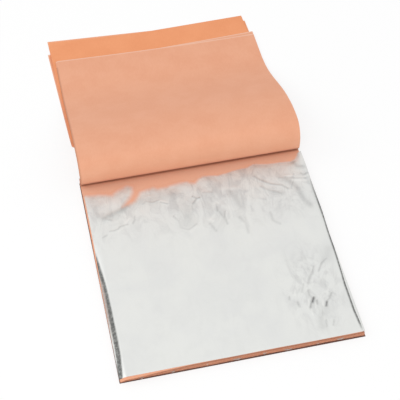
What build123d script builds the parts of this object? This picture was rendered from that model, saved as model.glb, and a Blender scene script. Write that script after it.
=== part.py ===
from build123d import *
import math
import os

# A booklet of metal leaf, lying open on a table. Lengths are in millimetres, angles in degrees.
# The origin is on the table under the middle of the crease. X runs along the crease, -Y runs
# over the block of unused pages to its front edge, and +Y runs over the pages turned back.

# Sheets
page_width = 140.0
page_reach = 140.0            # from the crease to the front edge
binding_margin = 6.5          # bound strip behind the crease
tissue_thickness = 0.07
fly_thickness = 0.12
cover_thickness = 0.25
leaf_thickness = 0.03
sheet_clearance = 0.03        # least air between two sheets that lie on each other
lower_pages = 22              # pages under the top one, each with its own leaf

# Block
block_height = 4.45           # table to the upper face of the top page
gutter_width = 7.5            # strip of the top page beside the crease that bends as it turns
seam_gap = 0.1                # between a bending strip and the flat rest of its sheet
back_cover_overhang = 0.4     # the back cover is a little larger than the pages

# Leaf
leaf_margin = 0.4             # the page is wider than a leaf by this much on each side
leaf_setback = 8.5            # mean distance of a leaf's rear edge from the crease
top_leaf_shift = 0.8          # the exposed leaf lies this far to the left

# Turned sheets. The drift is how far the far edge lies to the left, and the slant is how much
# further out its left end lies than its right end.
front_cover_reach = 131.0
front_cover_drift = 4.0
front_cover_slant = -3.0
fly_sheet_reach = 138.0
fly_sheet_1_drift = 2.6
fly_sheet_1_slant = 8.0
fly_sheet_2_drift = 3.2
fly_sheet_2_slant = -4.0
turned_page_1_drift = -0.6
turned_page_1_slant = -2.4
turned_page_2_drift = 0.0
turned_page_2_slant = 2.6
stack_gap = 0.2               # air between turned sheets where they lie flat
nest_gap = 0.45               # air between turned sheets where they curve
crease_gap = 0.12             # air between their bound strips

# Tall curve of the turned pages, followed up from the crease. The shares are of the reach.
turn_radius = 1.2
lean_angle = 23.5             # how far the page leans over the block as it rises
lean_radius_share = 0.1714
roll_radius_share = 0.0814
crest_radius_share = 0.5357
foot_radius_share = 0.4643
fall_angle = 26.0

# Low curve of the front cover and the fly sheets
low_turn_radius = 2.5
low_setback = 0.3             # the low folds start this far behind the tall ones
low_crest_radius_share = 0.2143
low_foot_radius_share = 0.2857
low_fall_angle = 17.0

# Staples
staple_wire = 0.4
staple_crown = 12.0
staple_spacing = 70.0
staple_inset = 3.0            # from the spine edge to the staples
staple_clearance = 0.12
clinch_length = 4.0

# Ragged rear edge of the exposed leaf: share of the leaf's width, share of the setback
ragged_edge_shares = (
    (0.00, 0.45), (0.06, 0.60), (0.11, 0.95), (0.16, 0.62), (0.20, 0.70), (0.215, 1.95),
    (0.25, 1.42), (0.34, 1.58), (0.41, 1.42), (0.50, 1.66), (0.53, 1.08), (0.62, 1.10),
    (0.69, 0.87), (0.76, 0.75), (0.83, 0.98), (0.90, 1.02), (0.95, 0.80), (1.00, 0.18),
)

half_width = page_width / 2
leaf_width = page_width - 2 * leaf_margin
lean_radius = page_reach * lean_radius_share
roll_radius = page_reach * roll_radius_share
crest_radius = page_reach * crest_radius_share
foot_radius = page_reach * foot_radius_share
low_crest_radius = page_reach * low_crest_radius_share
low_foot_radius = page_reach * low_foot_radius_share
clinch_room = staple_wire + 2 * staple_clearance
block_floor = cover_thickness + clinch_room
page_pitch = (block_height - tissue_thickness - block_floor) / lower_pages
leaf_lift = (page_pitch - tissue_thickness - leaf_thickness) / 2
staple_rear = binding_margin - staple_inset


class Path:
    """A sheet seen from its edge: a line in Y and Z that gets a thickness and a width."""

    def __init__(self, y, z, heading):
        self.spot = Vector(y, z)
        self.heading = heading
        self.steps = []
        self.length = 0.0

    def side(self, offset):
        across = math.radians(self.heading + 90)
        return self.spot + Vector(math.cos(across), math.sin(across)) * offset

    def forward(self, length):
        begin = self.heading, self.spot
        along = math.radians(self.heading)
        self.spot = self.spot + Vector(math.cos(along), math.sin(along)) * length
        self.steps.append((begin, None, (self.heading, self.spot)))
        self.length += length

    def turn(self, radius, angle):
        """Positive angles turn left, which is upwards for a path that runs along +Y."""
        begin = self.heading, self.spot
        centre = self.side(math.copysign(radius, angle))
        arm = self.spot - centre
        places = []
        for share in (0.5, 1.0):
            swing = math.radians(angle * share)
            places.append((self.heading + angle * share, centre + Vector(
                arm.X * math.cos(swing) - arm.Y * math.sin(swing),
                arm.X * math.sin(swing) + arm.Y * math.cos(swing))))
        self.heading, self.spot = places[1]
        self.steps.append((begin, places[0], places[1]))
        self.length += radius * math.radians(abs(angle))

    def edges(self, offset):
        def place(pose):
            across = math.radians(pose[0] + 90)
            return pose[1] + Vector(math.cos(across), math.sin(across)) * offset

        made = []
        for begin, middle, end in self.steps:
            if middle is None:
                made.append(Edge.make_line(place(begin), place(end)))
            else:
                made.append(Edge.make_three_point_arc(place(begin), place(middle), place(end)))
        return made

    def solid(self, thickness, width):
        left = self.edges(thickness / 2)
        right = self.edges(-thickness / 2)
        caps = [Edge.make_line(left[0] @ 0, right[0] @ 0), Edge.make_line(left[-1] @ 1, right[-1] @ 1)]
        face = make_face(left + right + caps)
        start = Plane(origin=(-width / 2, 0, 0), x_dir=(0, 1, 0), z_dir=(1, 0, 0))
        return extrude(start * face, width)


def plate(left, right, near, far, bottom, thickness):
    """A flat rectangular sheet between two X and two Y places."""
    middle = Location(((left + right) / 2, (near + far) / 2, bottom))
    return middle * Box(right - left, abs(far - near), thickness,
                        align=(Align.CENTER, Align.CENTER, Align.MIN))


def outline(points, bottom, thickness):
    """A flat sheet with corners at the given X and Y places."""
    face = make_face(Polyline(*points, close=True))
    return extrude(Location((0, 0, bottom)) * face, thickness)


def staple_legs():
    """X and Y of each staple leg."""
    places = []
    for side in (-1, 1):
        for leg in (-1, 1):
            places.append((side * staple_spacing / 2 + leg * staple_crown / 2, staple_rear))
    return places


def pierced(sheet, bottom, top):
    """A bound strip with a round hole for every staple leg."""
    drills = [
        Location((x, y, bottom)) * Cylinder(
            staple_wire / 2 + staple_clearance, top - bottom,
            align=(Align.CENTER, Align.CENTER, Align.MIN))
        for x, y in staple_legs()
    ]
    return sheet - drills


def write(name, *solids):
    shape = solids[0] if len(solids) == 1 else Compound(children=list(solids))
    shape.label = name
    export_step(shape, "parts/" + name + ".step")


class TurnedSheet:
    def __init__(self, name, thickness, reach, drift, slant, tall):
        self.name = name
        self.thickness = thickness
        self.reach = reach
        self.drift = drift
        self.slant = slant
        self.tall = tall


# From the front cover up to the last page that was turned
turned_sheets = (
    TurnedSheet("front_cover", cover_thickness, front_cover_reach, front_cover_drift,
                front_cover_slant, False),
    TurnedSheet("fly_sheet_1", fly_thickness, fly_sheet_reach, fly_sheet_1_drift,
                fly_sheet_1_slant, False),
    TurnedSheet("fly_sheet_2", fly_thickness, fly_sheet_reach, fly_sheet_2_drift,
                fly_sheet_2_slant, False),
    TurnedSheet("turned_page_1", tissue_thickness, page_reach, turned_page_1_drift,
                turned_page_1_slant, True),
    TurnedSheet("turned_page_2", tissue_thickness, page_reach, turned_page_2_drift,
                turned_page_2_slant, True),
)


def lay_out_turned_sheets():
    """Heights on the table from the cover up, and in the bound strip from the last page up."""
    height = 0.0
    for sheet in turned_sheets:
        sheet.flat_middle = height + sheet.thickness / 2
        height += sheet.thickness + stack_gap
    bound = block_height + crease_gap
    for order, sheet in enumerate(reversed(turned_sheets)):
        sheet.order = order
        sheet.bound_middle = bound + sheet.thickness / 2
        bound += sheet.thickness + crease_gap
    return bound


stack_top = lay_out_turned_sheets()
fly_sheet_order = turned_sheets[2].order      # the outermost of the low folds


def tall_path(sheet):
    """The last turned pages lean over the block, roll back and come down in a long slope."""
    inset = sheet.order * nest_gap
    rise = 90 - lean_angle
    begin = turn_radius * math.sin(math.radians(rise))
    path = Path(binding_margin, sheet.bound_middle, 180)
    path.forward(binding_margin - begin - inset)
    path.turn(turn_radius, -rise)
    path.turn(lean_radius - inset, -lean_angle)
    return finish_fall(path, sheet, 0.0, crest_radius - inset, foot_radius + inset, fall_angle,
                       roll_radius - inset)


def low_path(sheet):
    """The cover and the fly sheets fold back over the bound strip and lie down behind it."""
    inset = (sheet.order - fly_sheet_order) * nest_gap
    radius = low_turn_radius - inset
    path = Path(binding_margin, sheet.bound_middle, 180)
    path.forward(binding_margin - low_turn_radius - low_setback)
    path.turn(radius, -90)
    return finish_fall(path, sheet, binding_margin, low_crest_radius - inset,
                       low_foot_radius + inset, low_fall_angle, radius)


def finish_fall(path, sheet, level, crest, foot, angle, roll):
    """From standing upright the sheet rolls over to level, falls at an angle and lies down."""
    path.turn(roll, -90)
    if level:
        path.forward(level)
    drop = path.spot.Y - sheet.flat_middle
    slope = (drop - (crest + foot) * (1 - math.cos(math.radians(angle)))) / math.sin(
        math.radians(angle))
    path.turn(crest, -angle)
    path.forward(slope)
    path.turn(foot, angle)
    return path


def turned_fold_and_flap(sheet):
    path = tall_path(sheet) if sheet.tall else low_path(sheet)
    fold = pierced(path.solid(sheet.thickness, page_width), block_height, stack_top)
    free = path.length - binding_margin
    near = path.spot.X + seam_gap
    far = path.spot.X + sheet.reach - free
    bottom = sheet.flat_middle - sheet.thickness / 2
    flap = outline((
        (-half_width, near),
        (half_width, near),
        (half_width - sheet.drift, far - sheet.slant / 2),
        (-half_width - sheet.drift, far + sheet.slant / 2),
    ), bottom, sheet.thickness)
    return fold, flap


def make_turned_sheets():
    for sheet in turned_sheets:
        fold, flap = turned_fold_and_flap(sheet)
        write(sheet.name + "_fold", fold)
        write(sheet.name, flap)


def page_bottom(level):
    return block_floor + level * page_pitch


def leaf_bottom(level):
    return page_bottom(level) + tissue_thickness + leaf_lift


def make_lower_pages():
    """Each page is one sheet from its front edge to the spine. The numbers in the names count
    down from the top, so page_01 is the first one under the top page."""
    for level in range(lower_pages):
        number = "%02d" % (lower_pages - level)
        bottom = page_bottom(level)
        sheet = plate(-half_width, half_width, -page_reach, binding_margin, bottom,
                      tissue_thickness)
        write("page_" + number, pierced(sheet, bottom, bottom + tissue_thickness))
        write("leaf_" + number, plate(-leaf_width / 2, leaf_width / 2, -page_reach,
                                      -leaf_setback, leaf_bottom(level), leaf_thickness))


def make_top_page():
    """Its bound strip, the strip that bends as it turns, and the flat rest."""
    bottom = page_bottom(lower_pages)
    bound = plate(-half_width, half_width, 0.0, binding_margin, bottom, tissue_thickness)
    write("top_page_root", pierced(bound, bottom, block_height))
    write("top_page_gutter", plate(-half_width, half_width, -gutter_width, -seam_gap, bottom,
                                   tissue_thickness))
    write("top_page", plate(-half_width, half_width, -page_reach, -gutter_width - seam_gap, bottom,
                            tissue_thickness))


def make_top_leaf():
    left = -leaf_width / 2 - top_leaf_shift
    rear = [(left + leaf_width * across, -leaf_setback * back)
            for across, back in ragged_edge_shares]
    front = [(left + leaf_width, -page_reach), (left, -page_reach)]
    write("top_leaf", outline(rear + front, block_height + sheet_clearance, leaf_thickness))


def make_back_cover():
    write("back_cover", plate(-half_width - back_cover_overhang, half_width + back_cover_overhang,
                              -page_reach - back_cover_overhang, binding_margin, 0.0,
                              cover_thickness))


def staple(x):
    """Bent wire: the crown lies over the bound strips and the ends are clinched under them."""
    crown_z = stack_top + staple_wire / 2
    clinch_z = cover_thickness + staple_clearance + staple_wire / 2
    half = staple_crown / 2
    route = FilletPolyline(
        (x - half + clinch_length, staple_rear, clinch_z),
        (x - half, staple_rear, clinch_z),
        (x - half, staple_rear, crown_z),
        (x + half, staple_rear, crown_z),
        (x + half, staple_rear, clinch_z),
        (x + half - clinch_length, staple_rear, clinch_z),
        radius=staple_wire,
    )
    section = Plane(origin=route @ 0, z_dir=route % 0) * Circle(staple_wire / 2)
    return sweep(section, path=route)


def make_staples():
    write("staples", staple(-staple_spacing / 2), staple(staple_spacing / 2))


os.makedirs("parts", exist_ok=True)
make_back_cover()
make_lower_pages()
make_top_page()
make_top_leaf()
make_turned_sheets()
make_staples()
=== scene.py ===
# %% [markdown]
# An open booklet of metal leaf. The block of unused pages lies in front of the crease, each page
# with a leaf of thin metal on it, and the used pages, two fly sheets and the cover are turned back
# over the crease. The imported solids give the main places, so the scene starts from them. Lengths
# are metres unless a comment says millimetres, and MM is one millimetre.

import math

import bmesh
import bpy
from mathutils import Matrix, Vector, noise
from mathutils.geometry import interpolate_bezier


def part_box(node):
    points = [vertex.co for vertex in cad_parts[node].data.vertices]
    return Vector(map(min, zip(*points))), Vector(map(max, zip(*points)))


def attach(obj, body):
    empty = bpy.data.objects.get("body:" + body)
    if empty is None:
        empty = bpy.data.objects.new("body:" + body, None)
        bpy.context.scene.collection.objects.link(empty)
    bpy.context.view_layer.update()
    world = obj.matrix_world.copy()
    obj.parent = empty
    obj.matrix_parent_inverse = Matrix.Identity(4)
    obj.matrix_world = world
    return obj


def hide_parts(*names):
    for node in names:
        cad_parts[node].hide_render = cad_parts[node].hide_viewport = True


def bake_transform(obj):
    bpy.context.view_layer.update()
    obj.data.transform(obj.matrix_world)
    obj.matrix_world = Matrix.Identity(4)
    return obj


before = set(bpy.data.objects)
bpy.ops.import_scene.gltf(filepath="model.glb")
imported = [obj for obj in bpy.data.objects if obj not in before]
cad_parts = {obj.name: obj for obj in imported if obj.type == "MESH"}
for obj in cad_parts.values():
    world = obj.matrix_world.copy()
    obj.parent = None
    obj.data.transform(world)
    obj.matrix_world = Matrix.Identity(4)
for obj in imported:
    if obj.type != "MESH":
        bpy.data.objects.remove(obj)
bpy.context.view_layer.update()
MM = 0.001

# %% [markdown]
# The camera stands a little to the left of the booklet and looks down at about fifty degrees. Its
# place came from matching the corners of the block and of the turned sheets. A long lens keeps the
# far edges nearly parallel to the near ones.

# %% Camera
def point_camera(azimuth, elevation, distance, target, lens):
    turn, rise = math.radians(azimuth), math.radians(elevation)
    back = Vector((math.sin(turn) * math.cos(rise), -math.cos(turn) * math.cos(rise),
                   math.sin(rise)))
    data = bpy.data.cameras.new("camera")
    data.lens, data.sensor_width = lens, 36.0
    camera = bpy.data.objects.new("camera", data)
    camera.location = Vector(target) + back * distance
    camera.rotation_mode = "QUATERNION"
    camera.rotation_quaternion = (-back).to_track_quat("-Z", "Y")
    bpy.context.scene.collection.objects.link(camera)
    bpy.context.scene.camera = camera


point_camera(azimuth=-12.52, elevation=50.63, distance=0.698,
             target=(0.76 * MM, -22.87 * MM, 0.0), lens=101.17)
print("camera at", [round(c, 3) for c in bpy.context.scene.camera.location], "m")

# %% [markdown]
# Shader maths reads best as a sum. The class below wraps a node's output so that plain operators
# add the Math nodes, and its node method makes any other node from its settings and its inputs.

# %% Shader helpers
class Link:
    """An output of a node that Python operators work on."""

    def __init__(self, tree, socket):
        self.tree, self.socket = tree, socket

    def maths(self, operation, *values, clamp=False):
        node = self.tree.nodes.new("ShaderNodeMath")
        node.operation, node.use_clamp = operation, clamp
        for slot, value in zip(node.inputs, values):
            if isinstance(value, Link):
                self.tree.links.new(value.socket, slot)
            else:
                slot.default_value = value
        return Link(self.tree, node.outputs[0])

    def __add__(self, other):
        return self.maths("ADD", self, other)

    def __radd__(self, other):
        return self.maths("ADD", other, self)

    def __sub__(self, other):
        return self.maths("SUBTRACT", self, other)

    def __rsub__(self, other):
        return self.maths("SUBTRACT", other, self)

    def __mul__(self, other):
        return self.maths("MULTIPLY", self, other)

    def __rmul__(self, other):
        return self.maths("MULTIPLY", other, self)

    def clamped(self):
        return self.maths("ADD", self, 0.0, clamp=True)

    def distance(self, other):
        return self.maths("ABSOLUTE", self - other)

    def between(self, low, high):
        """0 below low, 1 above high, and smooth in between."""
        share = self.maths("DIVIDE", self - low, high - low, clamp=True)
        return share * share * (3.0 - 2.0 * share)


class Finish:
    """A material in the making."""

    def __init__(self, name):
        self.material = bpy.data.materials.new(name)
        self.material.use_nodes = True
        self.tree = self.material.node_tree
        self.surface = self.tree.nodes["Principled BSDF"]

    def node(self, kind, settings=None, output=0, **inputs):
        """Any node. Inputs go by name, or by number as in6 where two share a name."""
        node = self.tree.nodes.new("ShaderNode" + kind)
        for key, value in (settings or {}).items():
            setattr(node, key, value)
        for key, value in inputs.items():
            slot = node.inputs[int(key[2:]) if key.startswith("in") and key[2:].isdigit()
                               else key.replace("_", " ")]
            if isinstance(value, Link):
                self.tree.links.new(value.socket, slot)
            else:
                slot.default_value = value
        return Link(self.tree, node.outputs[output])

    def place(self):
        """The place on the piece, in metres."""
        return self.node("TexCoord", output=3)

    def attribute(self, name):
        """A number that the mesh carries at each corner."""
        return self.node("Attribute", {"attribute_name": name}, output=2)

    def specks(self, size, detail=3.0, roughness=0.55, stretch=None, distortion=0.0):
        """Soft noise from 0 to 1 with blotches about size metres wide."""
        where = self.place()
        if stretch:
            where = self.node("Mapping", Vector=where, Scale=stretch)
        return self.node("TexNoise", {"normalize": True}, Vector=where, Scale=1.0 / size,
                         Detail=detail, Roughness=roughness, Distortion=distortion)

    def blend(self, share, first, second):
        """Mixes two colours, each a link or three numbers."""
        def colour(value):
            return value if isinstance(value, Link) else (*value, 1.0)
        return self.node("Mix", {"data_type": "RGBA"}, output=2, Factor=share,
                         in6=colour(first), in7=colour(second))

    def wire(self, name, link):
        self.tree.links.new(link.socket, self.surface.inputs[name])

    def bump(self, height, distance, strength=1.0):
        self.wire("Normal", self.node("Bump", Height=height, Distance=distance, Strength=strength))


def linear(red, green, blue):
    """A colour as it looks on a screen, 0 to 255, turned into the numbers that light works in."""
    return tuple(((c / 255 + 0.055) / 1.055) ** 2.4 for c in (red, green, blue))


print("white comes out as", [round(c, 2) for c in linear(255, 255, 255)])

# %% [markdown]
# The tissue between the leaves is a thin matt paper dyed peach. Up close it is cloudy, with fine
# fibres, and a faint bloom of the orange dye. Noise at three sizes gives the cloud, the fibres and
# the tooth. A little light passes through the sheet, which the colour already holds. Attributes of
# the mesh lighten a sheet where the leaf left a trace of metal on it, paint a highlight along its
# trimmed edges, and paint shade as dark lines in the crease and in the gap under the top page.

# %% Tissue, fly sheets and cover
METAL_DUST = linear(228, 178, 152)
# A painted highlight for trimmed edges, then painted shade for the crease and the gaps.
CUT_EDGE_HIGHLIGHT = linear(250, 222, 204)
DEEP_SHADE = linear(120, 62, 44)
FINE_TOOTH, COARSE_TOOTH = 0.02 * MM, 0.04 * MM


def paper(name, colour, tint, tooth=FINE_TOOTH):
    """A paper that clouds from colour to tint. tooth is the height of its grain."""
    finish = Finish(name)
    clouds = finish.specks(18 * MM, detail=2.0)
    fibres = finish.specks(0.9 * MM, detail=3.0, stretch=(1.0, 0.35, 1.0))
    grain = finish.specks(0.25 * MM, detail=2.0)
    share = (clouds.between(0.35, 0.65) * 0.5 + fibres.between(0.3, 0.7) * 0.35).clamped()
    shown = finish.blend(share, colour, tint)
    shown = finish.blend(finish.attribute("dusted") * (0.5 + clouds), shown, METAL_DUST)
    # Painted highlight along the trimmed edges.
    shown = finish.blend(finish.attribute("edge_highlight"), shown, CUT_EDGE_HIGHLIGHT)
    # Painted shade in the crease and in the gaps between sheets.
    shown = finish.blend(finish.attribute("sunk") * 0.85, shown, DEEP_SHADE)
    finish.wire("Base Color", shown)
    finish.wire("Roughness", 0.86 + grain * 0.1)
    finish.surface.inputs["Specular IOR Level"].default_value = 0.25
    finish.surface.inputs["Sheen Weight"].default_value = 0.08
    finish.bump(fibres * 0.6 + grain * 0.4, tooth)
    return finish.material


tissue = paper("tissue", linear(234, 172, 140), linear(229, 163, 130))
fly_paper = paper("fly_paper", linear(240, 161, 115), linear(234, 153, 107))
cover_paper = paper("cover_paper", linear(232, 152, 110), linear(222, 140, 98), tooth=COARSE_TOOTH)
# The back cover's dark grey-brown is partly painted shade along the foot of the block.
dark_cover_and_shade = paper("dark_cover_and_shade", linear(128, 92, 80), linear(98, 74, 68), tooth=COARSE_TOOTH)
print("papers:", ", ".join(stock.name for stock in (tissue, fly_paper, cover_paper, dark_cover_and_shade)))

# %% [markdown]
# The staples are drawn steel wire: bright, with fine marks along the wire.

# %% Staple wire
def drawn_wire():
    finish = Finish("staple_wire")
    marks = finish.specks(0.4 * MM, detail=2.0, stretch=(0.1, 1.0, 1.0))
    finish.wire("Base Color", finish.blend(marks, (0.55, 0.55, 0.56), (0.68, 0.68, 0.69)))
    finish.surface.inputs["Metallic"].default_value = 1.0
    finish.wire("Roughness", 0.25 + marks * 0.2)
    return finish.material


wire = drawn_wire()
print("wire:", wire.name)

# %% [markdown]
# Beaten metal is far thinner than paper, so it shows every fold, and where it is thinnest the
# tissue shows through it. Attributes that the mesh carries say where the leaf is gone, where painted
# shade marks a fold and a painted highlight its lip, where its bent edges get a painted dark
# reflection, and how crumpled it is, which also sets painted shade in its crinkles. Noise breaks all
# of them up, so that no stroke looks drawn.

# %% Metal leaf
SILVER = linear(227, 228, 225)
SILVER_CLOUD = linear(223, 224, 222)
# Painted light: shade in the crinkles, highlights on the lips of folds, shade on the folds, and the dark
# reflection along the bent edges with its paler outside.
CREASE_SHADE = linear(178, 178, 178)
GLINT = linear(236, 236, 233)
FOLD_SHADE = linear(112, 112, 112)
BAND_SHADE = linear(98, 99, 97)
BAND_FADE = linear(186, 172, 166)
THIN_LEAF = linear(228, 170, 142)
METAL_SHARE = 0.8


def plain_metal(name):
    """Starts a leaf: the finish, its fine noise and its colour where nothing marks it."""
    finish = Finish(name)
    satin = finish.specks(30 * MM, detail=2.0, distortion=0.6)
    fine = finish.specks(1.6 * MM, detail=4.0, roughness=0.65)
    return finish, fine, finish.blend(satin.between(0.3, 0.7), SILVER, SILVER_CLOUD)


def exposed_metal():
    finish, fine, colour = plain_metal("exposed_leaf")
    crumpled, torn = finish.attribute("crumpled"), finish.attribute("torn")
    streaks = finish.specks(9 * MM, detail=5.0, stretch=(1.0, 0.5, 1.0), distortion=1.6)
    veins = finish.specks(14 * MM, detail=4.0, roughness=0.5, stretch=(1.0, 0.6, 1.0), distortion=2.2)
    ridge = 1.0 - veins.distance(0.5).between(0.0, 0.035)
    # Painted shade in the crinkles of the crumpled leaf.
    crease_shading = streaks.between(0.42, 0.7) * crumpled * 0.45 + ridge * crumpled * 0.15
    ragged = ((streaks - 0.5) * 0.45 + (fine - 0.5) * 0.2) * (1.0 - 0.7 * torn)
    thin = (torn + ragged).between(0.28, 0.78)
    # Painted shade on the folds.
    folds = (finish.attribute("shade") * (0.65 + 0.7 * fine)).clamped()
    # The paler outside of the painted dark band along the bent left edge.
    band_fade = (finish.attribute("band_fade") * (0.7 + 0.6 * fine)).clamped()
    # Painted dark reflection on the bent left edge, and painted shade on the curled right edge.
    edge_band_shade = (finish.attribute("edge_band_shade") * (0.35 + 1.2 * fine)).clamped()
    # Lays the painted shade, highlights and dark reflection over the silver, then the tissue colour where
    # the leaf is thin.
    for share, paint in ((crease_shading, CREASE_SHADE), (finish.attribute("glint") * 0.8, GLINT),
                         (folds, FOLD_SHADE), (band_fade, BAND_FADE), (edge_band_shade, BAND_SHADE),
                         (thin, THIN_LEAF)):
        colour = finish.blend(share, colour, paint)
    finish.wire("Base Color", colour)
    finish.wire("Alpha", 1.0 - torn.between(0.84, 0.843))
    finish.wire("Roughness", 0.40 + 0.15 * fine + 0.4 * thin)
    finish.wire("Metallic", METAL_SHARE * (1.0 - thin))
    finish.bump(streaks * crumpled * 0.8 + fine * 0.12, 0.6 * MM, 0.5)
    return finish.material


def hidden_metal():
    finish, fine, colour = plain_metal("hidden_leaf")
    finish.wire("Base Color", colour)
    finish.surface.inputs["Metallic"].default_value = METAL_SHARE
    finish.surface.inputs["Roughness"].default_value = 0.42
    finish.bump(fine, 0.2 * MM)
    return finish.material


exposed_leaf, hidden_leaf = exposed_metal(), hidden_metal()
print("metals:", exposed_leaf.name, "and", hidden_leaf.name)

# %% [markdown]
# Every sheet starts as a flat grid of squares and is then bent into its place, as a modeller would
# with proportional editing. The function moves each corner of the grid, which runs from -1 to 1
# both ways, to the place that the sheet's own rule gives. Solidify then gives the paper its
# thickness.

# %% Sheets from grids
def smooth(share):
    share = min(1.0, max(0.0, share))
    return share * share * (3.0 - 2.0 * share)


def ramp(value, start, width):
    """0 up to start, 1 from a width further on, and smooth in between."""
    return smooth((value - start) / width)


def mix(first, second, share):
    return first + (second - first) * share


def sheet(name, columns, rows, place, thickness, material, attributes=()):
    """place(u, v) gives the corner's place. u runs from -1 to 1 across the sheet and v from -1
    to 1 along it. Each attribute is a name and a function of the corner's place."""
    grid = bmesh.new()
    bmesh.ops.create_grid(grid, x_segments=columns, y_segments=rows, size=1.0)
    layers = [(grid.verts.layers.float.new(label), rule) for label, rule in attributes]
    for corner in grid.verts:
        corner.co = place(corner.co.x, corner.co.y)
        for layer, rule in layers:
            corner[layer] = rule(corner.co)
    for face in grid.faces:
        face.smooth = True
    for edge in grid.edges:
        edge.smooth = not edge.is_boundary
    mesh = bpy.data.meshes.new(name)
    grid.to_mesh(mesh)
    grid.free()
    piece = bpy.data.objects.new(name, mesh)
    bpy.context.scene.collection.objects.link(piece)
    mesh.materials.append(material)
    wall = piece.modifiers.new("thickness", "SOLIDIFY")
    wall.thickness, wall.offset = thickness, 0.0
    return piece

# %% [markdown]
# The block is about 4.5 mm high. It is lowest along its left edge, where the sheets are pressed
# down, and it rises a little towards the crease. Every sheet in it is a share of the way from the
# back cover to this top surface, so that no two of them touch.

# %% Top surface of the block
page_low, page_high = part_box("page_22")
HALF, REACH, SPINE, LOWEST_PAGE = page_high[0], -page_low[1], page_high[1], page_low[2]
COVER_TOP, BLOCK_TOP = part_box("back_cover")[1][2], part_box("top_page")[1][2]
PRESSED_EDGE, PRESSED_WIDTH, PRESSED_DEPTH = -65.9 * MM, 4.2 * MM, 1.75 * MM


def pressed(x, y):
    """How far the left edge is pressed down at this place, from 0 to 1."""
    along = ramp(-y, 30 * MM, 50 * MM)
    return along * min(1.0, max(0.0, (PRESSED_EDGE - x) / PRESSED_WIDTH)) ** 1.5


def block_top(x, y):
    """Height of the top surface: it rises by the crease, waves a little, and droops at two edges."""
    rise = 0.35 * MM * ramp(y, -22 * MM, 22 * MM) * (1 - ramp(y, 1 * MM, 2 * MM))
    wave = 0.10 * MM * math.sin(x / (19 * MM) + 1.3) * math.sin(y / (27 * MM)) * ramp(-y, 0, 20 * MM)
    right = 0.35 * MM * ramp(x, 68.6 * MM, 1.4 * MM) * ramp(-y, 0, 30 * MM)
    front = 0.15 * MM * ramp(-y, 138.6 * MM, 1.4 * MM)
    return BLOCK_TOP + rise + wave - PRESSED_DEPTH * pressed(x, y) - right - front


print("block top at the front left corner:", round(block_top(-HALF, -REACH) / MM, 2), "mm")

# %% [markdown]
# The unused pages and their leaves. Their edges don't line up exactly, because the booklet was
# trimmed loose, so each sheet's edges wander by a few tenths of a millimetre. Soft noise gives each
# one its own wander. The first sheets under the top one lie further back, and a few leaves stick
# out in front and show as flecks.

# %% Unused pages and leaves
LOWER = 22
TISSUE_THICK, BLOCK_PAGE_THICK, BLOCK_LEAF_THICK = 0.07 * MM, 0.1 * MM, 0.03 * MM
LEAF_LIFT = 0.0825 * MM
PAGE_LEFT, PAGE_RIGHT = -69.9 * MM, 69.6 * MM
PAGE_PITCH = (BLOCK_TOP - TISSUE_THICK - LOWEST_PAGE) / LOWER
# Leaves that stick out in front: the leaf's number, and the middle and half width of the bit in mm.
FLECKS = ((16, 25.4, 3.4), (14, 42.3, 2.0), (11, 55.5, 3.2), (13, 11.5, 1.8), (15, -3.8, 3.4),
          (12, -21.0, 1.4), (14, -40.6, 1.8), (18, -58.0, 1.5))


def crowded(share, power=1.6):
    """Puts more of the grid's lines near both edges."""
    side = 1.0 - abs(share)
    return math.copysign(1.0 - side ** power, share)


def wander(seed, place):
    """Soft noise along an edge, with a course of its own for each seed."""
    return noise.noise(Vector((seed * 7.31, place * 0.045 / MM, seed * 1.7)))


def sticks_out(number, x):
    """How far this leaf sticks out in front at x."""
    return sum(1.3 * MM * smooth(1.6 * (1.0 - abs(x / MM - middle) / half_width))
               for fleck, middle, half_width in FLECKS if fleck == number)


def block_sheet(number, leaf):
    """One page of the block or, where leaf is true, the leaf on it."""
    node = ("leaf_%02d" if leaf else "page_%02d") % number
    left, right, rear, setback, lift = PAGE_LEFT, PAGE_RIGHT, SPINE, 0.1 * MM, 0.0
    if leaf:
        left, rear, setback, lift = -69.4 * MM, -8.0 * MM, 0.5 * MM, LEAF_LIFT
        right = (70.1 if number < 3 else 69.2) * MM
    height = LOWEST_PAGE + (LOWER - number) * PAGE_PITCH + lift
    share = (height - COVER_TOP) / (BLOCK_TOP - COVER_TOP)
    seed = number * 2 + leaf
    back = 0.7 * MM * math.exp(-((number - 2) / 1.8) ** 4)
    shift = 0.54 * MM * noise.noise(Vector((seed * 3.3, 0.5, 2.0)))

    def place(u, v):
        across, along = crowded(u), crowded(v)
        x = mix(left + 0.3 * MM * wander(seed, along * HALF),
                right + 0.3 * MM * wander(seed + 50, along * HALF), (across + 1) / 2)
        near = -REACH + back + setback + 0.45 * MM * wander(seed + 90, x)
        if leaf:
            near -= sticks_out(number, x)
        y = mix(near, rear, (along + 1) / 2)
        x += shift * ramp(-y, 0, 60 * MM)
        return Vector((x, y, COVER_TOP + (block_top(x, y) - COVER_TOP) * share))

    def sunk(spot):
        """Painted shade: darker along the front edge, and dark in the gap under the top page."""
        near = ramp(-spot.y, REACH - back - 2.0 * MM, 1.0 * MM)
        return near * (0.26 + 0.7 * math.exp(-((number - 2.4) / 1.9) ** 2))

    if leaf:
        columns = 150 if number > 10 else 30
        piece = sheet(node + "_sheet", columns, 34, place, BLOCK_LEAF_THICK, hidden_leaf)
    else:
        # Each page carries painted shade along its front edge.
        piece = sheet(node + "_sheet", 30, 34, place, BLOCK_PAGE_THICK, tissue,
                      attributes=(("sunk", sunk),))
    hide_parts(node)
    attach(piece, "root")


for number in range(1, LOWER + 1):
    block_sheet(number, leaf=False)
    block_sheet(number, leaf=True)
print(2 * LOWER, "sheets in the block")

# %% [markdown]
# The top page is bound behind the crease. It is two pieces that meet just in front of the crease:
# the strip runs back into the binding, and the page runs forward over the block. Their edges meet on
# the same line, so no seam shows.

# %% Top page
CREASE_LINE = -3.75 * MM


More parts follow.
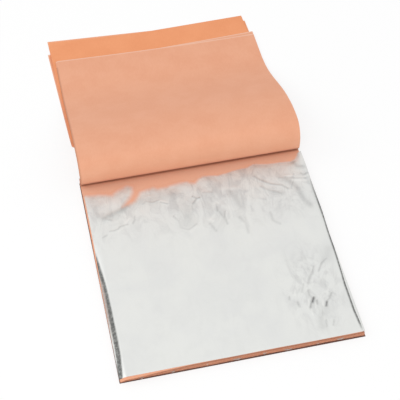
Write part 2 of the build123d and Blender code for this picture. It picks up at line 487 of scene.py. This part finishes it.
def top_front(x):
    """The top page's front edge. It sticks out past the others at the left."""
    return -REACH - 1.2 * MM * ramp(-x, 15 * MM, 55 * MM) + 0.2 * MM * wander(3, x)


def top_place(front, far, power=1.0):
    """front gives the near edge's Y at an X. A power above 1 puts more rows near that edge."""
    def place(u, v):
        across = crowded(u)
        y = mix(front(across * HALF), far, ((v + 1) / 2) ** power)
        right = PAGE_RIGHT - 1.1 * MM * ramp(-y, 70 * MM, 45 * MM)
        right += 0.7 * MM * ramp(y, -12 * MM, 8 * MM)
        x = mix(PAGE_LEFT, right, (across + 1) / 2)
        height = block_top(x, y)
        if y > 0:
            height = mix(block_top(x, 0.0), BLOCK_TOP, ramp(y, 0, 2.4 * MM))
        return Vector((x, y, height - TISSUE_THICK / 2))
    return place


def crease_shadow(place):
    """Painted shade: the dark line where the last turned page leaves the block."""
    return 0.5 * ramp(place.y, -0.8 * MM, 0.8 * MM)


def shaded(place):
    """Painted shadow: the dark line in front of the exposed leaf, which fades out at the left."""
    before = ramp(-place.y, -top_front(place.x) - 0.6 * MM, 0.3 * MM)
    return 0.65 * before * ramp(place.x, -62 * MM, 15 * MM)


def dusted(place):
    """Specks of metal that the leaf left on the bare part of the page."""
    return 0.6 * ramp(-place.y, -0.5 * MM, 4 * MM) * ramp(place.y, -40 * MM, 10 * MM)


# The strip gets painted shade along the crease, and the page a painted shadow in front of the leaf.
top_strip = sheet("top_page_strip", 60, 32, top_place(lambda x: CREASE_LINE, SPINE), TISSUE_THICK,
                  tissue, attributes=(("dusted", dusted), ("sunk", crease_shadow)))
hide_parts("top_page_root", "top_page_gutter")
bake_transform(top_strip)

top_page = sheet("top_page_sheet", 60, 125, top_place(top_front, CREASE_LINE, 1.3), TISSUE_THICK,
                 tissue, attributes=(("dusted", dusted), ("sunk", shaded)))
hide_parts("top_page")
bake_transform(top_page)
print("top page from", round(SPINE / MM, 1), "to", round(top_front(0) / MM, 1), "mm")

# %% [markdown]
# The exposed leaf. Its rear edge is torn, with a tongue that folds over at the left, and the metal
# thins out towards the tear. Inside the outline of the tear the leaf is whole. The mesh runs a
# little past it, and there the finish first takes the tissue's colour and then cuts the leaf off.
# The tables give places in millimetres.

# %% Torn edge
TEAR = ((-72, -9), (-67.5, -9.2), (-59.8, -10.2), (-52.2, -12.1), (-49.0, -10.0), (-45.4, -8.0),
        (-42.2, -6.5), (-39.6, -7.9), (-40.2, -11.5), (-42.4, -15.7), (-45.3, -19.0), (-47.5, -21.6),
        (-43.2, -21.0), (-39.1, -19.2), (-36.4, -16.1), (-34.4, -13.2), (-30.6, -12.2), (-26.8, -11.1),
        (-23.5, -12.9), (-17.6, -12.5), (-12.4, -11.7), (-5.7, -11.3), (0.0, -13.6), (1.5, -12.0),
        (3.4, -10.0), (6.2, -8.7), (11.3, -9.3), (14.8, -10.0), (20.5, -9.4), (24.5, -8.4),
        (30.2, -7.7), (34.7, -7.7), (39.1, -5.9), (47.4, -7.6), (56.0, -8.0), (62.7, -8.6),
        (66.4, -7.0), (68.2, -4.6), (69.5, -1.5), (70.6, 1.2), (73, 1.8))
# The mesh ends on this line, a little past the tear.
REAR = ((-72, -6.0), (-56, -7.5), (-48, -4.6), (-38, -4.6), (-32, -8.4), (-20, -8.6), (-5, -8.4),
        (2, -7.0), (8, -5.6), (24, -5.2), (38, -3.4), (48, -4.4), (60, -4.6), (66, -4.0),
        (69, -2.4), (71, -1.1), (73, -0.9))
# In front of this Y the leaf is whole, so the distance to the tear isn't measured there.
TEAR_FRONT, FAR_INSIDE = -30.0, 9.0


def gap_to(place, start, end):
    """Millimetres from a place to the straight line between start and end."""
    along = (end[0] - start[0], end[1] - start[1])
    offset = (place[0] - start[0], place[1] - start[1])
    share = (offset[0] * along[0] + offset[1] * along[1]) / (along[0] ** 2 + along[1] ** 2)
    share = min(1.0, max(0.0, share))
    return math.hypot(offset[0] - along[0] * share, offset[1] - along[1] * share)


def inside_tear(place):
    """Millimetres from the tear, above 0 where the leaf is whole and below 0 past the tear."""
    whole, nearest = True, FAR_INSIDE
    if place[1] < TEAR_FRONT:
        return nearest
    for start, end in zip(TEAR, TEAR[1:]):
        nearest = min(nearest, gap_to(place, start, end))
        if min(start[0], end[0]) < place[0] <= max(start[0], end[0]):
            share = (place[0] - start[0]) / (end[0] - start[0])
            if place[1] > start[1] + share * (end[1] - start[1]):
                whole = not whole
    return nearest if whole else -nearest


print("the tear runs from", TEAR[1], "to", TEAR[-2], "mm")

# %% [markdown]
# Folds in the leaf are strokes: each has a width, a strength and the places it passes through, in
# millimetres. Dark strokes are painted shade where folds turn away from the light, with a soft ridge
# in the mesh. Light ones are painted highlights on the lips beside them.

# %% Folds of the leaf
# Painted shade on the folds, which also raise the mesh.
SHADED_FOLDS = (
    (2.1, 0.30, (-60.3, -28.4), (-53.2, -25.9), (-48.6, -24.2), (-44.4, -20.9)),
    (0.7, 0.30, (-61.3, -28.0), (-56.1, -30.7)), (1.5, 0.12, (-64.5, -18), (-63.5, -26)),
    (0.5, 0.24, (-47.1, -35.9), (-51.8, -36.6), (-53.1, -38.1), (-56.1, -39.0), (-58.3, -38.8)),
    (0.6, 0.22, (-41.9, -30.7), (-42.1, -33.3), (-43.6, -35.8)), (0.6, 0.2, (-63.3, -42.6), (-60.7, -41.4)),
    (0.7, 0.26, (-35.4, -22.4), (-33.0, -20.7), (-29.0, -22.5), (-25.1, -21.4)),
    (0.5, 0.30, (-24.4, -23.0), (-19.9, -25.4)), (3.5, 0.14, (-36, -20.5), (-24, -19.5), (-14, -18.5)),
    (0.5, 0.42, (-4.2, -22.8), (-1.8, -25.0), (0.1, -24.7)), (0.7, 0.40, (-1.8, -25.0), (-5.1, -28.5)),
    (0.6, 0.22, (-5.5, -29.4), (-6.5, -35.1)), (4.6, 0.15, (-8.4, -27.1), (-10.3, -36.3), (-11.6, -42.7)),
    (0.6, 0.20, (-18.8, -35.6), (-15.9, -40.4), (-15.8, -45.3), (-11.7, -47.6), (-6.1, -44.3)),
    (0.6, 0.24, (9.1, -32.1), (8.6, -36.6), (11.6, -43.7), (12.3, -48.4)),
    (0.7, 0.22, (1.8, -45.6), (4.3, -52.1)), (1.6, 0.14, (18.3, -22.9), (21.4, -28.3), (23.0, -37.1)),
    (0.5, 0.28, (12.8, -38.7), (11.9, -42.5)), (0.9, 0.16, (20.0, -44.7), (23.4, -49.9), (22.9, -57.5)),
    (0.5, 0.16, (2.7, -21.1), (8.3, -22.3)),
    (0.7, 0.26, (37.1, -15.5), (40.1, -19.0), (45.3, -23.6), (52.0, -26.1), (55.3, -29.7)),
    (0.9, 0.20, (39.1, -24.4), (43.9, -28.8), (50.3, -32.4)),
    (0.5, 0.22, (51.9, -20.0), (56.9, -21.1), (68.3, -23.6)),
    (1.9, 0.24, (55.5, -21.3), (59.6, -26.7), (61.9, -33.9), (62.5, -39.5), (64.8, -45.0)),
    (0.6, 0.30, (66.1, -19.2), (68.2, -20.7), (71.9, -18.7)), (0.6, 0.14, (35.6, -33.0), (39.4, -34.9)),
    (0.8, 0.18, (39.6, -45.3), (39.6, -51.7), (43.3, -55.2)), (0.6, 0.12, (23.6, -45.5), (24.2, -53.0)),
    (1.4, 0.26, (64.0, -9.7), (65.6, -13.3), (69.6, -14.2)),
    (3.2, 0.13, (66.4, -79.9), (63.3, -86.0)), (0.6, 0.28, (63.3, -86.0), (59.4, -88.8), (56.2, -93.9)),
    (0.6, 0.30, (54.1, -90.3), (52.5, -93.2)), (0.8, 0.24, (52.1, -93.9), (49.7, -97.0), (47.6, -101.2)),
    (0.6, 0.26, (46.3, -105.7), (46.1, -109.5), (47.6, -111.7)),
    (0.75, 0.95, (48.0, -111.6), (46.4, -114.4)), (0.5, 0.45, (49.2, -113.5), (48.9, -116.2)),
    (0.5, 0.50, (45.2, -115.4), (44.2, -118.0)), (0.65, 0.85, (54.6, -115.8), (53.5, -118.4)),
    (0.6, 0.28, (58.9, -110.3), (56.8, -113.8), (54.9, -115.4)), (0.6, 0.30, (34.4, -108.1), (34.1, -109.8)),
    (0.6, 0.30, (38.1, -112.6), (38.5, -115.7)), (2.4, 0.16, (49.9, -123.6), (47.6, -127.8), (47.5, -131.9)),
    (0.5, 0.28, (50.5, -127.8), (49.9, -131.8)), (0.5, 0.24, (55.0, -128.8), (53.7, -131.9)),
    (0.6, 0.20, (44.9, -101.1), (42.5, -106.3)),
)
# Painted highlights on the lips beside the folds, which also raise the mesh a little.
HIGHLIT_FOLDS = (
    (2.8, 0.30, (-58.0, -18.0), (-52.0, -17.0), (-45.0, -11.5)), (0.8, 0.8, (-48.0, -34.4), (-45.0, -31.5)),
    (0.7, 0.7, (-53.0, -39.6), (-50.5, -38.4)), (0.8, 0.9, (-24.2, -21.6), (-20.4, -23.8)),
    (0.6, 0.9, (-30.6, -16.6), (-29.6, -17.4)), (1.0, 0.6, (-10.6, -49.2), (-6.6, -46.6)),
    (0.8, 0.6, (-9.0, -24.0), (-7.6, -28.0)), (1.6, 0.5, (14.5, -20.5), (25.0, -22.0)),
    (1.8, 0.4, (10.5, -31.0), (15.5, -36.0)), (0.7, 0.8, (2.6, -42.6), (4.2, -44.2)),
    (0.5, 0.9, (13.8, -39.0), (13.0, -42.0)), (0.6, 0.8, (56.0, -18.8), (61.0, -19.6)),
    (0.8, 0.7, (60.0, -23.0), (68.0, -25.6)), (0.8, 0.7, (66.8, -22.4), (70.8, -21.6)),
    (0.6, 0.8, (52.8, -91.4), (51.0, -95.0)), (0.5, 0.9, (45.0, -111.8), (44.0, -116.0)),
    (0.5, 0.8, (48.2, -115.6), (47.2, -118.4)), (0.5, 0.8, (52.6, -114.6), (52.0, -118.0)),
    (0.6, 0.6, (58.6, -106.0), (56.6, -110.0)), (0.5, 0.7, (38.8, -104.4), (38.0, -108.2)),
    (0.5, 0.7, (44.6, -119.0), (44.4, -122.6)), (0.5, 0.8, (50.4, -124.6), (50.0, -127.0)),
)


# A stroke fades out at this many times its width.
FADE = 2.2


def strokes_at(strokes, place):
    """How strongly the strokes mark this place, from 0 to 1."""
    total = 0.0
    for width, strength, *spots in strokes:
        reach = FADE * width
        for start, end in zip(spots, spots[1:]):
            if (min(start[0], end[0]) - reach < place[0] < max(start[0], end[0]) + reach
                    and min(start[1], end[1]) - reach < place[1] < max(start[1], end[1]) + reach):
                gap = gap_to(place, start, end) / width
                if gap < FADE:
                    total = max(total, strength * math.exp(-gap * gap))
    return total


print(len(SHADED_FOLDS), "dark folds and", len(HIGHLIT_FOLDS), "light ones")

# %% [markdown]
# The leaf reaches past the page at its right rear and draws in towards the front. Its left edge is
# bent down over the pressed pages, with a band of painted dark reflection along it that turns paler
# at its outside, and its right edge curls a little, with a line of painted shade along it.
# The tables give the X of each edge at a Y, in millimetres, and the rules below work in millimetres
# too.

# %% Exposed leaf
LEAF_RIGHT = ((-140, 69.2), (-134, 69.1), (-125, 68.6), (-106, 68.9), (-95, 69.6), (-83, 70.2),
              (-70, 70.4), (-56, 71.1), (-37, 71.2), (-20, 71.6), (-8, 71.4), (5, 70.6))
LEAF_LEFT = ((-140, -70.3), (-100, -70.1), (-70, -69.9), (-50, -69.4), (-20, -69.2), (5, -69.2))
BAND_RIGHT = ((-140, -67.8), (-136, -67.3), (-125, -66.4), (-116, -66.2), (-96, -66.2), (-84, -66.3),
              (-75, -66.7), (-66, -67.4), (-55, -68.5), (-40, -69.8), (5, -70.5))
LEAF_HALF, RIM = 69 * MM, 1.5 * MM
LEAF_THICK, LEAF_GAP = 0.02 * MM, 0.045 * MM


def along_y(knots, y):
    """The value at y of knots that each give a Y and a value, in millimetres."""
    for (y0, value0), (y1, value1) in zip(knots, knots[1:]):
        if y <= y1:
            return mix(value0, value1, min(1.0, max(0.0, (y - y0) / (y1 - y0))))
    return knots[-1][1]


def torn(place):
    """0 where the leaf is whole and 1 past the tear, with a softer change at the left."""
    soft = mix(4.4, 2.0, ramp(place[0], -15, 35))
    return 0.5 - 0.5 * min(1.0, max(-1.0, inside_tear(place) / soft))


def rear_of_leaf(x):
    return along_y(REAR, x / MM) * MM


def edge_band_shade(place):
    """1 where a dark reflection is painted on the bent left edge, and shade on the curled right one."""
    depth = along_y(BAND_RIGHT, place[1]) - place[0]
    wide = mix(1.9, 2.7, ramp(-place[1], 75, 40))
    band = smooth(depth / 1.1) * (1.0 - 0.7 * ramp(depth, wide, 0.8))
    curl = ramp(place[0] - along_y(LEAF_RIGHT, place[1]), -1.5, 0.9)
    curl *= ramp(-place[1], 18, 25) * ramp(place[1], -140, 8)
    return max(band * ramp(-place[1], 46, 14), curl * 0.9)


def band_fade(place):
    """1 on the outside of the painted dark band, where it turns a paler pinkish grey."""
    depth = along_y(BAND_RIGHT, place[1]) - place[0]
    return ramp(depth, 1.5, 0.8) * ramp(place[1], -118, 24) * ramp(-place[1], 40, 10)


def crumpled(place):
    """1 near the tear and around the crumpled patch, and little over the smooth middle."""
    rear = ramp(place[1], -66, 44) * mix(0.7, 1.0, ramp(place[0], -40, 60))
    patch = math.hypot((place[0] - 50) / 17.0, (place[1] + 105) / 30.0)
    return max(0.10, rear, 0.75 * smooth(1.5 - patch))


def leaf_place(u, v):
    """The folds raise the leaf, but not on a rim around it, so its edges lie flat on the page."""
    share = (v + 1) / 2
    share = mix(share, 1 - (1 - share) ** 1.6, 0.5)
    across = crowded(u, 1.25)
    rough_y = mix(-139.6, -8.0, share)
    x = mix(along_y(LEAF_LEFT, rough_y), along_y(LEAF_RIGHT, rough_y), (across + 1) / 2) * MM
    front = -REACH + 0.55 * MM + 0.2 * MM * wander(21, x)
    y = mix(front, rear_of_leaf(x), share)
    spot = (x / MM, y / MM)
    rise = 0.5 * strokes_at(SHADED_FOLDS, spot) + 0.12 * strokes_at(HIGHLIT_FOLDS, spot)
    crinkle = noise.noise(Vector((spot[0] * 0.13, spot[1] * 0.13, 0.3)))
    rise += 0.16 * (crinkle + 0.6) * ramp(spot[1], -70, 50)
    rise *= ramp(inside_tear(spot), -1, 4)
    to_side = (1 - abs(across)) * LEAF_HALF
    edge = min(1.0, (rear_of_leaf(x) - y) / RIM, (y - front) / RIM, to_side / RIM)
    return Vector((x, y, block_top(x, y) + LEAF_GAP + rise * max(0.0, edge) * MM))


def in_mm(rule):
    """Lets a rule that works in millimetres take a corner's place in metres."""
    return lambda place: rule((place.x / MM, place.y / MM))


# The leaf carries its painted shade, highlights and dark reflection as attributes.
top_leaf = sheet(
    "top_leaf_sheet", 200, 205, leaf_place, LEAF_THICK, exposed_leaf,
    attributes=(("torn", in_mm(torn)), ("edge_band_shade", in_mm(edge_band_shade)), ("band_fade", in_mm(band_fade)),
                ("crumpled", in_mm(crumpled)),
                ("shade", in_mm(lambda place: strokes_at(SHADED_FOLDS, place))),
                ("glint", in_mm(lambda place: strokes_at(HIGHLIT_FOLDS, place)))))
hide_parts("top_leaf")
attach(top_leaf, "top_leaf")
print("the leaf is", round(along_y(LEAF_RIGHT, -60) - along_y(LEAF_LEFT, -60), 1), "mm wide")

# %% [markdown]
# Seen from its edge, a turned sheet is one smooth line: out of the binding, up, over, and down to
# the table. A chain of Bezier curves draws that line, once for the sheet's left edge and once for
# its right, and the sheet is stretched between the two.

# %% Lines of the turned sheets
def line_of(knots, steps=14):
    """knots are pairs of a Y, Z place in millimetres and the line's heading there in degrees.
    Returns places along the line with the length to each, in metres."""
    places = []
    for (a, turn_a), (b, turn_b) in zip(knots, knots[1:]):
        a, b = Vector(a) * MM, Vector(b) * MM
        pull = (b - a).length * 0.38
        out = Vector((math.cos(math.radians(turn_a)), math.sin(math.radians(turn_a)))) * pull
        back = Vector((math.cos(math.radians(turn_b)), math.sin(math.radians(turn_b)))) * pull
        run = interpolate_bezier(a.to_3d(), (a + out).to_3d(), (b - back).to_3d(), b.to_3d(), steps)
        places += run if not places else run[1:]
    length, measured = 0.0, [(0.0, places[0])]
    for before, after in zip(places, places[1:]):
        length += (after - before).length
        measured.append((length, after))
    return measured


def walk(measured, length):
    """The Y, Z place at a length along the line."""
    for (s0, a), (s1, b) in zip(measured, measured[1:]):
        if length <= s1:
            return a.lerp(b, (length - s0) / max(s1 - s0, 1e-9))
    return measured[-1][1]


# Knots from the crease to the foot.
PALE_RIGHT = (((0.2, 6.3), 140), ((-1.5, 8.8), 103), ((-1.9, 14.2), 89), ((1.4, 24.0), 52),
              ((10.1, 27.2), 0), ((26.0, 25.1), -14), ((47.9, 16.9), -25), ((68.4, 7.3), -22.5),
              ((88.8, 1.75), -7), ((96.0, 1.4), 0))
PALE_LEFT = (((0.2, 6.3), 140), ((-1.9, 8.6), 103), ((-2.5, 13.7), 89), ((0.5, 21.2), 50),
             ((9.0, 24.0), 0), ((24.8, 22.2), -12), ((46.0, 15.0), -22.5), ((65.9, 6.6), -20),
             ((85.9, 1.75), -7), ((93.0, 1.4), 0))


def inside(knots, gap):
    """The same line, for a sheet that lies under it by gap millimetres, less at the foot."""
    moved = []
    for number, ((y, z), heading) in enumerate(knots):
        turn, far = math.radians(heading), number >= len(knots) - 2
        step = gap * (0.6 if far else 1.0)
        moved.append(((y + step * math.sin(turn), z - step * math.cos(turn)), heading))
    return moved


def low_knots(bound, crest, front, foot, flat):
    """From the spine forward, up and back over the binding, and down behind it. bound, crest and
    flat are heights, and front and foot are places in Y."""
    return (((SPINE / MM, bound), 180), ((front + 1.7, bound), 180),
            ((front, (bound + crest) / 2 - 0.3), 90),
            ((front + 2.3, crest), 0), ((12.0, crest - 0.25), -5),
            ((30.0, flat + (crest - flat) / 2), -17), ((foot, flat), 0))


print("turned page from its crease to its foot:",
      round(line_of(PALE_RIGHT)[-1][0] / MM, 1), "mm")

# %% [markdown]
# A turned sheet is stretched between its two edge lines and then runs on flat to its far edge. The
# far edges aren't square to the crease, because the sheets were turned by hand. The pale pages have
# a rounded far corner at the left, and the fly sheets and the cover have a small step in their left
# edge behind the crease. The sheets' measures are millimetres, and thickness is metres.

# %% Turned sheets
OVERHANG = 0.1 * MM
CORNER_CUT = 1.3 * MM
STEP_DEPTH, STEP_END = 1.6, 36 * MM


def turned_sheet(name, left, right, far_left, far_right, thickness, material, rows,
                 drift=0.0, trim=0.0, highlight_strength=0.0, bow=0.0):
    """left and right are the knots of the sheet's edge lines up to its foot. far_left and
    far_right are the Y of its far corners, and drift is how far that edge lies to the left.
    trim is what the sheet lacks at its left side, and bow is how far the middle of its far edge
    falls short of a straight line between the corners."""
    pale = material is tissue
    lines = []
    for knots, far in ((left, far_left), (right, far_right)):
        line = line_of(knots)
        foot = line[-1][1]
        line.append((line[-1][0] + far * MM - foot.x, Vector((far * MM, foot.y, 0))))
        lines.append(line)

    def drifted(y):
        """How far the sheet lies to the left at y."""
        return drift * MM * max(0.0, (y - 25 * MM) / (100 * MM))

    def place(u, v):
        across = crowded(u, 1.3)
        ends = [walk(line, (v + 1) / 2 * line[-1][0]) for line in lines]
        spot = ends[0].lerp(ends[1], (across + 1) / 2)
        y, z = spot.x, spot.y
        y -= bow * MM * (1.0 - across ** 2) * ramp(y, 60 * MM, 50 * MM)
        if pale:
            y -= CORNER_CUT * max(0.0, (-across - 0.97) / 0.03) ** 2 * ramp(y, 110 * MM, 8 * MM)
        lack = trim if pale else max(trim, STEP_DEPTH * ramp(-y, -STEP_END, 1.5 * MM))
        x = mix(-HALF - OVERHANG + lack * MM, HALF + OVERHANG, (across + 1) / 2)
        x -= drifted(y)
        ripple = ramp(y, 5 * MM, 30 * MM) * ramp(-y, -95 * MM, 30 * MM)
        z += 0.2 * MM * ripple * noise.noise(Vector((x * 0.02 / MM, y * 0.03 / MM, 4.0)))
        return Vector((x, y, z))

    def edge_highlight(spot):
        """A painted highlight on the trimmed edges: the far edge, and the sides of all but the pale pages.
        """
        across = spot.x + drifted(spot.y)
        far = mix(lines[0][-1][1].x, lines[1][-1][1].x, (across / HALF + 1) / 2)
        far -= bow * MM * (1.0 - (across / HALF) ** 2)
        if far > 60 * MM and far - spot.y < 0.75 * MM:
            return highlight_strength
        at_side = HALF + OVERHANG - abs(across) < 0.5 * MM
        return 0.6 * highlight_strength if at_side and not pale else 0.0

    def sunk(spot):
        """Painted shade on the pale pages, in the crease and along their left edge."""
        if not pale:
            return 0.0
        crease = 0.6 * ramp(-spot.z, -9.3 * MM, 0.8 * MM) * ramp(-spot.y, -3 * MM, 1 * MM)
        left_edge = 0.5 if spot.x < -HALF + 0.4 * MM and spot.y < 112 * MM else 0.0
        return max(crease, left_edge)

    # Each turned sheet carries a painted highlight on its trimmed edges, and painted shade.
    piece = sheet(name, 44, rows, place, thickness, material,
                  attributes=(("edge_highlight", edge_highlight), ("sunk", sunk)))
    print(name, "is", round(lines[1][-1][0] / MM, 1), "mm long at its right edge")
    return piece


# %% [markdown]
# The two pale pages turned last. Each is two pieces that meet at the crease: a short one that stays
# in the binding, and a long one over the block. The page's swell is lower at the left.


def pale_page(name, gap, bound, far_left, far_right, bow):
    """gap is how far the page lies under turned page 2, and bound is the height of its bound strip."""
    left, right = inside(PALE_LEFT, gap), inside(PALE_RIGHT, gap)
    seam = right[0]
    page = turned_sheet(name + "_sheet", left, right, far_left, far_right, TISSUE_THICK, tissue,
                        rows=120, highlight_strength=0.5, bow=bow)
    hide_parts(name)
    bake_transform(page)
    strip_line = (((SPINE / MM, bound), 180), ((2.6 + gap, bound), 180), seam)
    strip = turned_sheet(name + "_strip", strip_line, strip_line, seam[0][0], seam[0][0],
                         TISSUE_THICK, tissue, rows=12)
    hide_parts(name + "_fold")
    meet = Vector((0, seam[0][0] * MM, seam[0][1] * MM))
    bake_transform(strip)


pale_page("turned_page_2", gap=0.0, bound=4.61, far_left=118.2, far_right=115.8, bow=1.1)
pale_page("turned_page_1", gap=0.45, bound=4.80, far_left=114.9, far_right=118.9, bow=0.8)

# %% [markdown]
# The two fly sheets and the cover were folded back first. They lie low behind the binding, one
# inside the other, and their far edges show beyond the pale pages.

# %% Fly sheets and cover
def low_sheet(name, bound, crest, front, foot, flat, far_left, far_right, drift, thickness, material,
              trim=0.0, highlight_strength=0.0):
    """bound, crest, front, foot and flat shape the sheet's line."""
    knots = low_knots(bound, crest, front, foot, flat)
    piece = turned_sheet(name + "_sheet", knots, knots, far_left, far_right, thickness, material,
                         rows=80, drift=drift, trim=trim, highlight_strength=highlight_strength)
    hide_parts(name, name + "_fold")
    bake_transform(piece)


FLY_THICK, COVER_THICK = 0.12 * MM, 0.25 * MM
low_sheet("fly_sheet_2", bound=5.01, crest=9.9, front=2.5, foot=49.8, flat=0.83, far_left=133.0,
          far_right=136.9, drift=3.3, thickness=FLY_THICK, material=fly_paper,
          trim=1.3)
low_sheet("fly_sheet_1", bound=5.25, crest=9.45, front=2.95, foot=48.7, flat=0.51, far_left=139.7,
          far_right=131.5, drift=2.3, thickness=FLY_THICK, material=fly_paper,
          highlight_strength=0.2)
low_sheet("front_cover", bound=5.56, crest=9.0, front=3.4, foot=48.0, flat=0.14, far_left=126.9,
          far_right=129.5, drift=4.0, thickness=COVER_THICK, material=cover_paper,
          highlight_strength=0.6)

# %% [markdown]
# The back cover and the staples keep their imported shapes and only get their finishes. The back
# cover is the same stock as the front one, but a dark grey-brown: its edge is the dark line along
# the foot of the block, partly the cover's edge and partly painted shade.

# %% Back cover and staples
for node, material in (("back_cover", dark_cover_and_shade), ("staples", wire)):
    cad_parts[node].data.materials.clear()
    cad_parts[node].data.materials.append(material)
    print(node, "gets", material.name)

# %% [markdown]
# The booklet lies on a white table in even light. What the camera sees of the floor is nearly pure
# white, and it keeps a share of its own shading, so the shadows under the sheets stay.

# %% Studio
def seen_by_camera(tree):
    """1 for rays of the camera and their reflections, 0 for the rays that light the booklet."""
    rays = tree.nodes.new("ShaderNodeLightPath")
    seen = Link(tree, rays.outputs["Is Camera Ray"])
    for kind in ("Is Glossy Ray", "Is Transmission Ray"):
        seen = seen.maths("MAXIMUM", seen, Link(tree, rays.outputs[kind]))
    return seen


def white_floor():
    """A matt white floor that shows a little shade of its own."""
    finish = Finish("floor")
    finish.surface.inputs["Base Color"].default_value = (0.97, 0.97, 0.97, 1.0)
    finish.surface.inputs["Roughness"].default_value = 0.9
    finish.surface.inputs["Specular IOR Level"].default_value = 0.1
    glow = finish.node("Emission", Color=(1.0, 1.0, 1.0, 1.0), Strength=1.0)
    both = finish.node("MixShader", Fac=seen_by_camera(finish.tree) * 0.8,
                       in1=Link(finish.tree, finish.surface.outputs[0]), in2=glow)
    finish.tree.links.new(both.socket, finish.tree.nodes["Material Output"].inputs["Surface"])
    return finish.material


FLOOR_DROP = 0.02 * MM
bed = bmesh.new()
bmesh.ops.create_grid(bed, x_segments=1, y_segments=1, size=3.0)
bmesh.ops.translate(bed, verts=bed.verts, vec=(0, 0, -FLOOR_DROP))
bed_mesh = bpy.data.meshes.new("floor")
bed.to_mesh(bed_mesh)
bed.free()
floor = bpy.data.objects.new("floor", bed_mesh)
bpy.context.scene.collection.objects.link(floor)
bed_mesh.materials.append(white_floor())

world = bpy.data.worlds.new("studio")
bpy.context.scene.world = world
world.use_nodes = True
sky = world.node_tree
backdrop = sky.nodes["Background"]
backdrop.inputs["Color"].default_value = (1, 1, 1, 1)
sky.links.new((0.75 + seen_by_camera(sky) * 0.25).socket, backdrop.inputs["Strength"])


def lamp(name, size, power, place):
    """A round lamp that points at the booklet."""
    data = bpy.data.lights.new(name, "AREA")
    data.shape, data.size, data.energy = "DISK", size, power
    light = bpy.data.objects.new(name, data)
    light.location = place
    light.rotation_mode = "QUATERNION"
    light.rotation_quaternion = (-Vector(place)).to_track_quat("-Z", "Y")
    bpy.context.scene.collection.objects.link(light)


lamp("key", size=0.9, power=7.5, place=(-0.45, -1.0, 1.25))
lamp("fill", size=1.0, power=3.5, place=(-1.2, 0.35, 0.9))

bpy.context.scene.view_settings.view_transform = "Standard"
print("floor, white world and two lamps")
